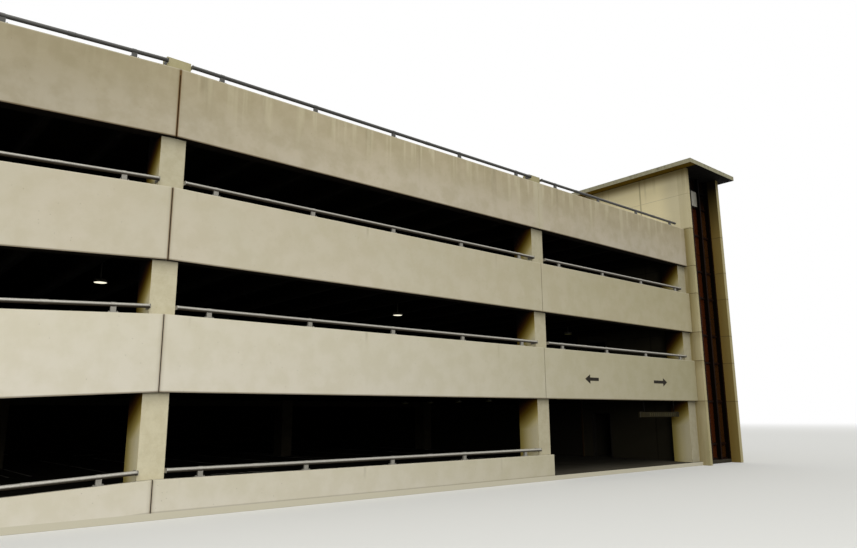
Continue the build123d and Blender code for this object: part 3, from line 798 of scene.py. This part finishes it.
def stubPlaces(start, end):
    first, last = start + firstStub, end - firstStub
    count = max(1, round((last - first) / stubSpacing))
    return [first + i * (last - first) / count for i in range(count + 1)]


def teeSpan(bay):
    return max(bay[0], -innerEnd) + 0.01, min(bay[1], innerEnd) - 0.01


def stemPlaces(bay):
    x0, x1 = teeSpan(bay)
    count = 2 * round((x1 - x0) / teeWidth)
    return [x0 + (i + 0.5) * (x1 - x0) / count for i in range(count)]


def railRows():                      # side, top of the wall and number of bays of the front's and rear's rails
    return [(side, deck + panelAbove, 3) for side in (-1, 1) for deck in decks] + [(-1, barrierTop, 2)]


def railRuns():                      # each rail's two ends and the feet of its stubs
    runs, middle = [], halfDepth - panelThickness / 2
    for side, top, count in railRows():
        for bay, (x0, x1) in list(zip(bays, clearSpans(side < 0)))[:count]:
            ends = [Vector((x, side * middle, top + railRise - fall(x)))
                    for x in (x0 + railClearance, x1 - railClearance)]
            runs.append((ends, [Vector((x, side * middle, top - fall(x))) for x in stubPlaces(*bay)]))
    for side in (-1, 1):
        x, start = side * (halfLength - panelThickness / 2), towerHigh.y if side > 0 else -innerFace
        for deck in decks:
            top = deck + panelAbove - fall(x)
            for y0, y1 in ((start, -columnDepth / 2), (columnDepth / 2, innerFace)):
                if side > 0 and y0 < 0.0 and deck < decks[2]:        # walls close the right end there
                    continue
                ends = [Vector((x, y, top + railRise)) for y in (y0 + railClearance, y1 - railClearance)]
                runs.append((ends, [Vector((x, y, top)) for y in stubPlaces(y0, y1)]))
    return runs


# ---- rails: plates, straps, couplers, caps and end brackets

railDetail = {"plateLength": 0.22, "plateWidth": 0.11, "plateThickness": 0.012, "boltAlong": 0.088,
              "boltAcross": 0.034, "strap": (0.10, 0.006, 0.004), "coupler": (0.17, 0.005, 0.003),
              "couplerEvery": 2, "bracket": 0.010}


def addSleeve(bm, middle, run, length, grow, chamfer):
    inner, outer = railRadius - 0.004, railRadius + grow
    addTurned(bm, middle - run * length / 2, run, [(inner, 0.0), (outer, chamfer), (outer, length - chamfer),
                                                   (inner, length)], 28)


def makeRailFittings(values):
    plates, straps, up = meshes["rail_base_plates"], meshes["rail_straps_and_caps"], Vector((0, 0, 1))
    for (start, end), stubs in railRuns():
        run = (end - start).normalized()
        flat = Vector((run.x, run.y, 0.0)).normalized()
        across = Vector((-flat.y, flat.x, 0.0))
        half = flat * values["plateLength"] / 2 + across * values["plateWidth"] / 2
        for stub in stubs:
            low = stub.z + fall(stub.x)
            high = low + values["plateThickness"]
            addBox(plates, (*(stub - half).xy, low - 0.001), (*(stub + half).xy, high), followFall=True)
            for a, b in ((-1, -1), (-1, 1), (1, -1), (1, 1)):
                at = stub + flat * a * values["boltAlong"] + across * b * values["boltAcross"]
                at.z = high - fall(at.x)
                addFixing(plates, "plateNut", at, up)
                addRod(plates, at + up * 0.012, at + up * 0.026, 0.006, 6)
            addSleeve(straps, start + run * (stub - start).dot(run), run, *values["strap"])
        for first, second in list(zip(stubs, stubs[1:]))[::values["couplerEvery"]]:
            centre = start + run * ((first + second) / 2 - start).dot(run)
            addSleeve(straps, centre, run, *values["coupler"])
            for push in (-0.25, 0.25):
                at = centre + run * values["coupler"][0] * push + across * (railRadius + 0.003)
                addFixing(straps, "couplerScrew", at, across)
        for tip, out in ((start, -run), (end, run)):
            r = railRadius
            addTurned(straps, tip - out * 0.02, out, [(r - 0.004, 0.0), (r + 0.004, 0.002), (r + 0.004, 0.020),
                                                      (r, 0.030), (r * 0.7, 0.038), (r * 0.3, 0.0415),
                                                      (0.0, 0.042)], 28)


def makeRailBrackets(values):        # angles that tie the rail ends to the columns beside them
    bm, middle = meshes["rail_end_brackets"], halfDepth - panelThickness / 2
    for side, top, count in railRows():
        for span in clearSpans(side < 0)[:count]:
            for x, inward in zip(span, (1, -1)):
                if top > 10.0 and abs(x) > 12.0:                     # no column stands beside the rail there
                    continue
                z, face = top + railRise - fall(x + inward * 0.02), x + inward * values["bracket"]
                addBox(bm, (x, side * (middle + 0.045), z - 0.05), (face, side * (innerFace - 0.19), z + 0.05))
                for inset in (0.05, 0.13):
                    addFixing(bm, "bracketBolt", (face, side * (innerFace - inset), z), (inward, 0, 0))


makeRailFittings(railDetail)
makeRailBrackets(railDetail)


# ---- joints between panels, and the steel ties between panels and columns

jointDetail = {"width": 0.022, "hollow": 0.004, "thickness": 0.02, "patchHeight": 0.16, "deepRecess": 0.09}
tieDetail = {"leg": 0.10, "wide": 0.12, "thick": 0.010, "drop": 0.22}


def addSeal(bm, foot, head, recess):                 # a hollow strip between two points of an outer face
    foot, head = Vector(foot), Vector(head)
    onLongFace, along = abs(abs(foot.y) - halfDepth) < 1e-4, head - foot
    inward = Vector((0, -math.copysign(1, foot.y), 0)) if onLongFace else Vector((-math.copysign(1, foot.x), 0, 0))
    up = Vector((0, 0, 1))
    across = inward.cross(up) if abs(along.z) > along.xy.length else up
    half, hollow, thickness = jointDetail["width"] / 2, jointDetail["hollow"], jointDetail["thickness"]
    profile = [(-half, 0.0), (-half / 2, hollow * 0.75), (0.0, hollow), (half / 2, hollow * 0.75), (half, 0.0),
               (half, thickness), (-half, thickness)]
    closeRings(bm, [[bm.verts.new(at + across * a + inward * (recess + d)) for a, d in profile]
                    for at in (foot, head)])


def makeJointSeals(values):
    dark, deep, pale, patch = (meshes[name] for name in ("panel_joint_seals", "deep_joint_seals",
                                                         "parapet_joint_seal", "parapet_joint_patch"))
    rows = [(deck - panelBelow, deck + panelAbove) for deck in decks]
    joint = rows[0][0] - 0.01                        # the level joint on top of the ground storey's walls
    for row, (bottom, top) in enumerate([(groundTop, joint - 0.01)] + rows):
        for side in (-1, 1):
            for x in (-bayLine, bayLine):
                y, high, target, recess = side * halfDepth, top, dark, 0.006
                if side < 0 and row == 0:
                    high = barrierTop
                    if x > 0:                        # the vehicle entrance
                        continue
                if side < 0 and x > 0 and row == 3:
                    target, recess = pale, 0.003
                if side < 0 and x < 0:
                    target, recess = deep, values["deepRecess"]
                    if row == 3:
                        high = top - values["patchHeight"]
                        addSeal(patch, (x, y, high), (x, y, top - 0.002), 0.002)
                addSeal(target, (x, y, bottom + 0.004), (x, y, high - 0.004), recess)
            x = side * halfLength
            drop = fall(x + panelThickness / 2)
            for y in (0.0, innerFace - 0.01, towerHigh.y + 0.01 if side > 0 else 0.01 - innerFace):
                addSeal(dark, (x, y, bottom - (drop if row else 0.0) + 0.004), (x, y, top - drop - 0.004), 0.008)
    for x0, x1 in bays:
        addSeal(dark, (x0 + 0.01, halfDepth, joint - fall(x0)), (x1 - 0.01, halfDepth, joint - fall(x1)), 0.008)
    for x, start in ((-halfLength, -innerFace), (halfLength, towerHigh.y)):
        z = joint - fall(x + panelThickness / 2)
        addSeal(dark, (x, start + 0.02, z), (x, innerFace - 0.02, z), 0.008)
    for low, high in zip(decks, decks[1:]):
        ceiling = high - panelBelow - 0.01
        addSeal(dark, (halfLength, towerHigh.y + 0.02, ceiling), (halfLength, -0.01, ceiling), 0.008)
        addSeal(dark, (halfLength, -0.01, low + panelAbove), (halfLength, -0.01, ceiling), 0.05)
    addBox(dark, (halfLength - 0.05, towerHigh.y - 0.0005, groundTop + 0.0005),      # the corner beside the tower
           (halfLength + 0.012, towerHigh.y + 0.0215, rows[-1][1] - 0.004))


def makePanelTies(values):
    bm, leg, half, thick = meshes["panel_ties"], values["leg"], values["wide"] / 2, values["thick"]
    for deck, side in ((deck, side) for deck in decks for side in (-1, 1)):
        for span in columnSpans(side < 0)[1:-1]:
            for x, out in zip(span, (-1, 1)):
                z, plate, face = deck + panelAbove - values["drop"] - fall(x), x + out * thick, side * innerFace
                addBox(bm, (x, face, z - half), (plate, side * (innerFace - leg), z + half))
                addBox(bm, (plate, face, z - half), (x + out * leg, side * (innerFace - thick), z + half))
                for at in (z - half / 2, z + half / 2):
                    addFixing(bm, "tieBolt", (x + out * leg * 0.6, side * (innerFace - thick), at), (0, -side, 0))
                    addFixing(bm, "tieBolt", (plate, side * (innerFace - leg * 0.6), at), (out, 0, 0))


makeJointSeals(jointDetail)
makePanelTies(tieDetail)


# ---- decks: bay markings, arrows, tee joints and expansion covers

deckDetail = {"line": 0.10, "rowLength": 5.2, "spaceWidth": 2.5, "paintThickness": 0.003, "aisle": 9.15,
              "arrow": (2.6, 1.04, 0.075, 0.28), "sealWidth": 0.022, "coverWidth": 0.18, "coverThickness": 0.008,
              "screwEvery": 0.6}


def makeBayLines(values, floor, side):
    bm, half, top = meshes["deck_bay_lines"], values["line"] / 2, floor + values["paintThickness"]
    inner, outer = (beamWeb / 2 + 0.05, values["rowLength"]), (innerFace - values["rowLength"], innerFace - 0.30)
    for index, (x0, x1) in enumerate(clearSpans(side < 0)):
        spaces = int((x1 - x0) / values["spaceWidth"])
        entrance = floor < 1.0 and side < 0 and index == 2
        for k in range(spaces + 1):
            x = x0 + 0.06 + k * (x1 - x0 - 0.12) / spaces
            for near, far in (inner,) if entrance else (inner, outer):
                addBox(bm, (x - half, side * near, floor), (x + half, side * far, top), followFall=floor > 1.0)
    for x0, x1 in bays:
        addArrow(bm, ((x0 + x1) / 2, side * values["aisle"], floor), (-side, 0, 0), (0, -side, 0), values["arrow"],
                 (0, 0, values["paintThickness"]))


def makeDeckJoints(values, floor, side):
    seals, covers, half = meshes["deck_joint_seals"], meshes["deck_joint_covers"], values["sealWidth"] / 2
    for bay in bays:
        left, right = teeSpan(bay)
        tees = len(stemPlaces(bay)) // 2
        for x in (left + k * (right - left) / tees for k in range(1, tees)):
            addBox(seals, (x - half, side * (beamWeb / 2 + 0.012), floor - 0.004),
                   (x + half, side * (innerFace - 0.012), floor + 0.002), followFall=True)
    top, wide = floor + values["coverThickness"], values["coverWidth"] / 2
    y0, y1 = sorted((side * (columnDepth / 2 + 0.01), side * (innerFace - columnDepth - 0.01)))
    steps = int((y1 - y0) / values["screwEvery"])
    for x in (-bayLine, bayLine):
        addBox(covers, (x - wide, y0, floor + 0.0005), (x + wide, y1, top), followFall=True)
        for place in (y0 + (k + 0.5) * (y1 - y0) / steps for k in range(steps)):
            for at in (x - wide * 0.7, x + wide * 0.7):
                addFixing(covers, "coverScrew", (at, place, top - fall(at)), (0, 0, 1))


def makeBeamSeals(floor):
    for x0, x1 in clearSpans():
        for edge in (-beamWeb / 2 - 0.005, beamWeb / 2 + 0.005):
            addBox(meshes["deck_joint_seals"], (x0 + 0.01, edge - 0.012, floor - 0.006),
                   (x1 - 0.01, edge + 0.012, floor + 0.002), followFall=True)


for floor in floors:
    for side in (-1, 1):
        makeBayLines(deckDetail, floor, side)
        if floor in decks:
            makeDeckJoints(deckDetail, floor, side)
for deck in decks:
    makeBeamSeals(deck)


# ---- ceiling lamps with their conduits

lampDetail = {"radius": 0.185, "drop": 0.101, "boxHeight": 0.05, "boxHalf": 0.06, "laneX": 13.0,
              "laneFirst": -14.10, "laneSpacing": 2.2, "laneCount": 6, "rodPast": 0.18, "rodSpacing": 10.625,
              "rodRow": 13.70, "rodClear": 0.35, "conduit": 0.012, "clipEvery": 1.5}


def lampPlaces(values):              # x, y, the concrete it hangs from and the length it hangs down
    stems = [place for bay in bays for place in stemPlaces(bay)]
    x = min(stemPlaces(bays[-1]), key=lambda place: abs(place - values["laneX"]))
    places = [(x, values["laneFirst"] + k * values["laneSpacing"], decks[0] - teeDepth, values["boxHeight"])
              for k in range(values["laneCount"])]
    first, hang = -bayLine - values["rodPast"], teeDepth - flange + values["boxHeight"]
    for k in range(int((innerEnd - first) // values["rodSpacing"]) + 1):
        x = first + k * values["rodSpacing"]
        near = min(stems, key=lambda place: abs(place - x))
        x = x if abs(near - x) > values["rodClear"] else near - values["rodClear"]
        places += [(x, side * values["rodRow"], decks[1] - flange, hang) for side in (-1, 1)]
    return places


def addConduit(values, x, y, under, top, onRod):     # from the lamp to the beam, with clips
    bm, pipe, side = meshes["lamp_conduits"], values["conduit"], 1 if y > 0 else -1
    away = side * (beamWeb / 2 + 0.03)
    if onRod:                                        # along the underside of the slab
        rest, wide = under - fall(x) - 0.001, pipe + 0.012
        addRod(bm, (x, y - side * 0.055, rest - pipe), (x, away, rest - pipe), pipe)
        clip = (x - wide, rest - 0.03), (x + wide, rest + 0.002)
    else:                                            # along the stem's side
        over, beside = top + 0.16, x + stemWidth / 2 + pipe + 0.001
        addRod(bm, (beside, y, over), (beside, away, over), pipe)
        addRod(bm, (beside, y, over + 0.01), (beside, y, top + 0.012), pipe)
        addRod(bm, (beside + pipe, y, top + 0.03), (x + 0.055, y, top + 0.03), pipe)
        clip = (beside - pipe - 0.001, over - 0.03), (beside + pipe + 0.002, over + 0.03)
    clips = int(abs(y - away) / values["clipEvery"])
    for at in (y + (away - y) * (k + 0.5) / clips for k in range(clips)):
        addBox(bm, (clip[0][0], at - 0.012, clip[0][1]), (clip[1][0], at + 0.012, clip[1][1]))


def makeLamps(values):
    bodies, r, half, down = meshes["lamp_bodies"], values["radius"], values["boxHalf"], (0, 0, -1)
    for x, y, under, hang in lampPlaces(values):
        onRod, top = hang > 0.2, Vector((x, y, under - fall(x) - hang))
        addBox(bodies, (x - half, y - half, under - 0.05), (x + half, y + half, under), followFall=True)
        if onRod:
            addRod(bodies, (x, y, top.z - 0.001), (x, y, under - fall(x) - 0.049), 0.02, 14)
            addTurned(bodies, top, (0, 0, 1), [(0.055, 0.0), (0.05, 0.02), (0.03, 0.03), (0.02, 0.05)], 18)
        addTurned(bodies, top, down, [(0.0, 0.0), (r * 0.45, 0.0), (r * 0.92, 0.012), (r, 0.03), (r, 0.085),
                                      (r * 0.96, 0.095), (r * 0.90, 0.092)], 32)
        for k in range(3):
            angle = 2 * math.pi * k / 3 + 0.4
            c, s = math.cos(angle), math.sin(angle)
            out, at = Vector((c, s, 0.0)), top + Vector((r * c, r * s, -0.058))
            addFixing(bodies, "lampScrew", at - out * 0.004, out)
        diffuser = meshes["lamp_diffusers_lit" if onRod and x < bayLine else "lamp_diffusers_plain"]
        addTurned(diffuser, top, down, [(r * 0.92, 0.088), (r * 0.90, 0.093), (r * 0.74, 0.097), (r * 0.42, 0.100),
                                        (0.0, values["drop"])], 32)
        addConduit(values, x, y, under, top.z, onRod)


makeLamps(lampDetail)


# ---- plain arrows over the vehicle entrance

arrowDetail = {"thickness": 0.006, "places": ((9.385, 3.495, 0.83, -1), (14.10, 3.505, 1.00, 1)), "height": 0.34,
               "shaft": 0.12, "head": 0.30}


def makeSignArrows(values):
    for x, z, length, heading in values["places"]:
        addArrow(meshes["entrance_arrows"], (x, 0.001 - halfDepth, z), (heading, 0, 0), (0, 0, 1),
                 (length, values["head"], values["shaft"] / 2, values["height"] / 2),
                 (0, -values["thickness"] - 0.001, 0))


makeSignArrows(arrowDetail)


# ---- tower: door casings, glazing gaskets, pressed panel

towerDetail = {"doorY": (-13.635, -12.635), "doorHeight": 2.10, "casing": 0.065, "lining": 0.010, "stop": 0.015,
               "panes": 3, "mullion": 0.11, "transom": 0.08, "glassY": -18.010, "gasket": 0.014,
               "vent": (12.10, 12.84), "ventFront": -18.085, "ventBorder": 0.045}


def makeDoorCasings(values):
    bm, x0, x1 = meshes["tower_door_casings"], towerLow.x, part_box("tower_floors")[0].x
    (y0, y1), wide, thin, stop = values["doorY"], values["casing"], values["lining"], values["stop"]
    for floor in floors:
        top = floor + values["doorHeight"]
        for face, out in ((x0, x0 - thin), (x1, x1 + thin)):
            for low, high in ((y0 - wide, y0), (y1, y1 + wide)):
                addBox(bm, (face, low, floor), (out, high, top + wide))
            addBox(bm, (face, y0, top), (out, y1, top + wide))
        for low, high in ((y0, y0 + thin), (y1 - thin, y1)):
            addBox(bm, (x0 - thin, low, floor), (x1 + thin, high, top))
        addBox(bm, (x0 - thin, y0, top - thin), (x1 + thin, y1, top))
        for low, high in ((y0 + thin, y0 + thin + stop), (y1 - thin - stop, y1 - thin)):
            addBox(bm, (x0 + 0.09, low, floor), (x0 + 0.11, high, top - thin))
        for z in (floor + 0.20, floor + 1.00, floor + 1.80):         # three hinges of three knuckles
            for foot in (z, z + 0.036, z + 0.072):
                at = Vector((x0 + 0.02, y1 - thin - 0.008, foot))
                addRod(bm, at, at + Vector((0, 0, 0.032)), 0.008, 10)


def addBorder(bm, x0, x1, z0, z1, wide, y0, y1):     # four strips round a pane or a panel
    for low, high in (((x0, z0), (x0 + wide, z1)), ((x1 - wide, z0), (x1, z1)),
                      ((x0 + wide, z0), (x1 - wide, z0 + wide)), ((x0 + wide, z1 - wide), (x1 - wide, z1))):
        addBox(bm, (low[0], y0, low[1]), (high[0], y1, high[1]))


def makeGlazingDetail(values):
    panel, y, half = meshes["tower_pressed_panel"], values["glassY"], values["transom"] / 2
    (z0, z1), front, border = values["vent"], values["ventFront"], values["ventBorder"]
    rows = [groundTop + half, barrierTop]
    for deck in decks:
        rows += [deck - panelBelow, deck + panelAbove]
    rows += [z0 - half, z1 + half, towerHigh.z - half]
    starts = [glassSheet["first"] + k * glassSheet["pane"] + values["mullion"] / 2 for k in range(values["panes"])]
    width = glassSheet["pane"] - values["mullion"]
    for x0 in starts:
        for low, high in zip(rows, rows[1:]):
            if x0 != starts[1] or low != z0 - half:                  # the pressed panel fills that pane
                addBorder(meshes["tower_glazing_gaskets"], x0, x0 + width, low + half, high - half,
                          values["gasket"], y - 0.012, y - 0.0005)
    x0, x1 = starts[1], starts[1] + width
    addBox(panel, (x0, front + 0.012, z0), (x1, y - 0.03, z1))
    addBorder(panel, x0, x1, z0, z1, border, front, front + 0.013)
    for k in range(4):
        z = z0 + border + 0.03 + (k + 0.5) * (z1 - z0 - 2 * border - 0.06) / 4
        addBox(panel, (x0 + border + 0.04, front + 0.005, z - 0.012), (x1 - border - 0.04, front + 0.013, z + 0.012))
    for x in (x0 + border / 2, x1 - border / 2):
        for z in (z0 + border / 2, (z0 + z1) / 2, z1 - border / 2):
            addFixing(panel, "panelScrew", (x, front + 0.001, z), (0, -1, 0))


makeDoorCasings(towerDetail)
makeGlazingDetail(towerDetail)


# ---- clearance bar: end caps, reflectors and the plates of its rods

barDetail = {"board": 0.20, "cap": 0.018, "rodInset": 0.15, "reflector": (0.022, 0.13), "spacing": 0.145,
             "plate": 0.055}


def makeBarDetail(values):
    caps, marks = meshes["clearance_bar_caps"], meshes["clearance_bar_reflectors"]
    (low, high), half, (wide, tall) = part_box("clearance_bar"), values["plate"], values["reflector"]
    top, middle = low.z + values["board"], (low.y + high.y) / 2
    for x, out in ((low.x, 1), (high.x, -1)):
        addBox(caps, (x + 0.0005, low.y - 0.003, low.z - 0.003),
               (x + out * values["cap"], high.y + 0.003, top + 0.003))
        for z in (low.z + 0.06, low.z + 0.14):
            addFixing(caps, "capScrew", (x + out * 0.009, low.y - 0.002, z), (0, -1, 0))
    for x in (low.x + values["rodInset"], high.x - values["rodInset"]):
        for z0, z1 in ((top - 0.001, top + 0.006), (high.z - 0.007, high.z)):
            addBox(caps, (x - half, middle - 0.045, z0), (x + half, middle + 0.045, z1))
        for at in (x - 0.038, x + 0.038):
            for z in (top + 0.006, high.z - 0.019):
                addFixing(caps, "rodNut", (at, middle, z), (0, 0, 1))
    for k in range(int((high.x - low.x - 0.9) / values["spacing"])):
        x, z = low.x + 0.75 + k * values["spacing"], low.z + 0.10
        addBox(marks, (x - wide / 2, low.y - 0.004, z - tall / 2), (x + wide / 2, low.y + 0.001, z + tall / 2))


makeBarDetail(barDetail)
for name, row in pieces.items():
    finishPiece(name, *row)
print("pieces made")


# ---- stage and light

studio = {"floorSize": 400.0, "floorColour": (214, 214, 210), "floorBounce": (128, 127, 122), "sky": 0.60,
          "sunStrength": 1.5, "sunAngle": 40.0, "sunFrom": (-0.30, -0.55, 1.0), "lampPower": 2600.0,
          "lampSize": (12.0, 8.0), "lampPlace": (-15.0, -44.0, 8.0), "lampAim": (-5.0, -18.0, 4.0)}
white = (1.0, 1.0, 1.0, 1.0)


def seenRays():                      # one for the camera's own rays and for reflections
    camera, glossy, through = (wireOf("LightPath", {}, title)
                               for title in ("Is Camera Ray", "Is Glossy Ray", "Is Transmission Ray"))
    return larger(camera, larger(glossy, through))


def makeStage(values):
    half, bm, mesh = values["floorSize"] / 2, bmesh.new(), bpy.data.meshes.new("studioFloor")
    bmesh.ops.create_grid(bm, x_segments=24, y_segments=24, size=half)
    bm.to_mesh(mesh)
    bm.free()
    floor = addObject("studioFloor", mesh)
    floor.location.z = -0.003
    position, _ = startMaterial("studioFloor", {"Roughness": 0.9, "Specular IOR Level": 0.1})
    colour = mixOf(seenRays(), values["floorBounce"], values["floorColour"])
    feed(bench["shader"].inputs["Base Color"], colour)
    away = wireOf("VectorMath", {0: position}, "Value", operation="LENGTH")
    glow = wireOf("Emission", {"Color": white, "Strength": 1.0})
    blend = wireOf("MixShader", {0: mapOf(away, half * 0.3, half * 0.9, smooth=True),
                                 1: Wire(bench["shader"].outputs[0]), 2: glow})
    feed(bench["tree"].nodes["Material Output"].inputs["Surface"], blend)
    mesh.materials.append(bench["material"])


def makeLight(values):
    world = bpy.context.scene.world = bpy.data.worlds.new("studio")
    world.use_nodes = True
    bench["tree"] = world.node_tree
    background = world.node_tree.nodes["Background"].inputs
    feed(background["Color"], white)
    feed(background["Strength"], mapOf(seenRays(), 0.0, 1.0, values["sky"], 1.0))
    sun, panel = bpy.data.lights.new("softSun", "SUN"), bpy.data.lights.new("softPanel", "AREA")
    sun.energy, sun.angle = values["sunStrength"], math.radians(values["sunAngle"])
    panel.shape, panel.energy = "RECTANGLE", values["lampPower"]
    panel.size, panel.size_y = values["lampSize"]
    aim = Vector(values["lampAim"]) - Vector(values["lampPlace"])
    for data, back in ((sun, Vector(values["sunFrom"])), (panel, -aim)):
        lamp = addObject(data.name, data)
        lamp.rotation_mode = "QUATERNION"
        lamp.rotation_quaternion = back.to_track_quat("Z", "Y")
    lamp.location = values["lampPlace"]


makeStage(studio)
makeLight(studio)
bpy.context.scene.view_settings.view_transform = "Standard"
print("stage and light set")
